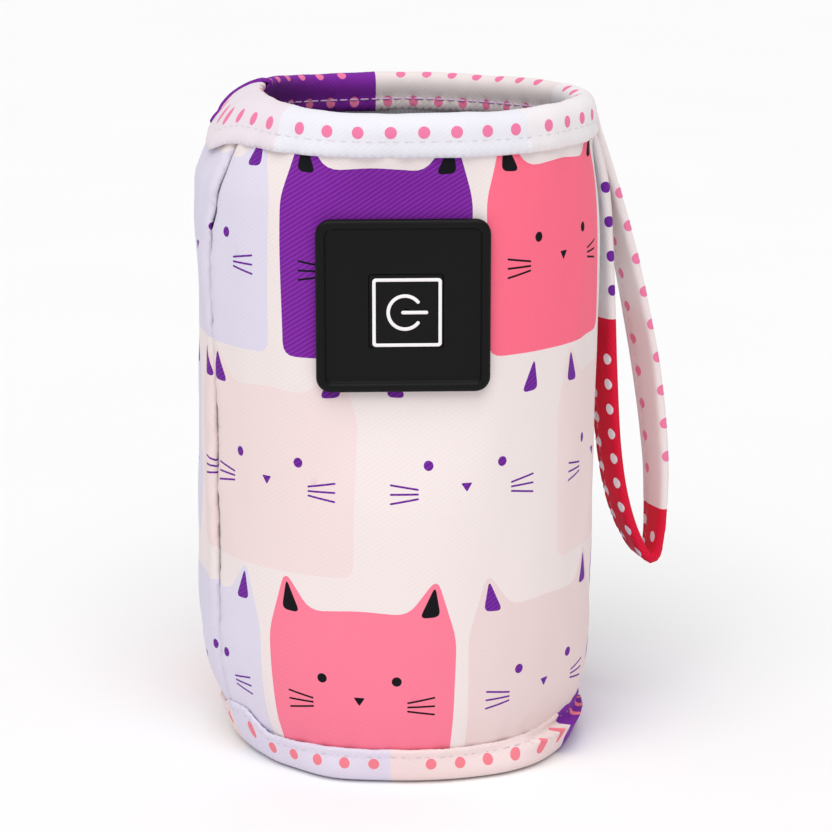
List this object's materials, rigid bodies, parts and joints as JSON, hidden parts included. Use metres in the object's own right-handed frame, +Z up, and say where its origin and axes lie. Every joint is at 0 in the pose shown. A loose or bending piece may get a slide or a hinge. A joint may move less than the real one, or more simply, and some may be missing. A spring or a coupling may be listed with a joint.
{
  "type": "bottle warmer",
  "caption": "Portable heated cloth sleeve for a baby bottle, with a square black silicone power button on the front and a hanging wrist strap.",
  "frame": {"origin": "centre of the flat resting face under the sleeve", "axes": "+Z up out of the mouth, -Y towards the side with the power button, +X to the button's right, where the strap hangs"},
  "size_m": [0.1089, 0.0907, 0.1495],
  "materials": {
    "printed_cloth": "printed polyester twill",
    "binding_tape": "folded printed tape",
    "strap_cloth": "folded printed tape",
    "lining_cloth": "plain grey weave",
    "insulation_foam": "soft pearl wadding",
    "heater_cloth": "non-woven carrier",
    "wire_sheath": "satin",
    "lead_sheath": "satin",
    "supply_sheath": "satin",
    "sensor_epoxy": "glossy",
    "grommet_rubber": "matte",
    "black_silicone": "matte",
    "black_plastic": "matte",
    "board_laminate": "satin",
    "switch_steel": "satin",
    "switch_plastic": "matte",
    "led_resin": "glossy",
    "chip_resin": "matte",
    "white_light_guide": "satin"
  },
  "bodies": {
    "sleeve": {"outer_front_panel": "printed_cloth", "outer_back_panel": "printed_cloth", "outer_base_panel": "printed_cloth", "top_binding": "binding_tape", "bottom_binding": "binding_tape", "lining_wall": "lining_cloth", "lining_base": "lining_cloth", "insulation_wall": "insulation_foam", "insulation_base": "insulation_foam", "heater_carrier": "heater_cloth", "heating_wire": "wire_sheath", "thermal_sensor": "sensor_epoxy", "heater_lead_left": "lead_sheath", "heater_lead_right": "lead_sheath", "sensor_lead": "lead_sheath", "supply_lead": "supply_sheath", "lead_grommet": "grommet_rubber", "silicone_cover": "black_silicone", "control_housing": "black_plastic", "circuit_board": "board_laminate", "switch_body": "switch_steel", "led_top": "led_resin", "led_bottom": "led_resin", "led_left": "led_resin", "led_right": "led_resin", "controller_chip": "chip_resin", "power_mosfet": "chip_resin", "strap_tab": "strap_cloth"},
    "button": {"button_face": "black_silicone", "button_light_guide": "white_light_guide"},
    "plunger": {"switch_plunger": "switch_plastic"},
    "strap": {"strap_loop": "strap_cloth"}
  },
  "joints": [
    {"name": "power_button", "type": "slide", "parent": "sleeve", "child": "button", "axis": [0, 1, 0], "range_m": [0, 0.0005], "stiffness_N_per_m": 2000},
    {"name": "switch_press", "type": "slide", "parent": "sleeve", "child": "plunger", "axis": [0, 1, 0], "range_m": [0, 0.0005]},
    {"name": "strap_swing", "type": "hinge", "parent": "sleeve", "child": "strap", "pos_m": [0.04489, 0.01004, 0.135], "axis": [0.2181, -0.9759, 0], "range_deg": [0, 110]}
  ],
  "couplings": [
    {"joint": "switch_press", "follows": "power_button", "ratio": 1}
  ]
}
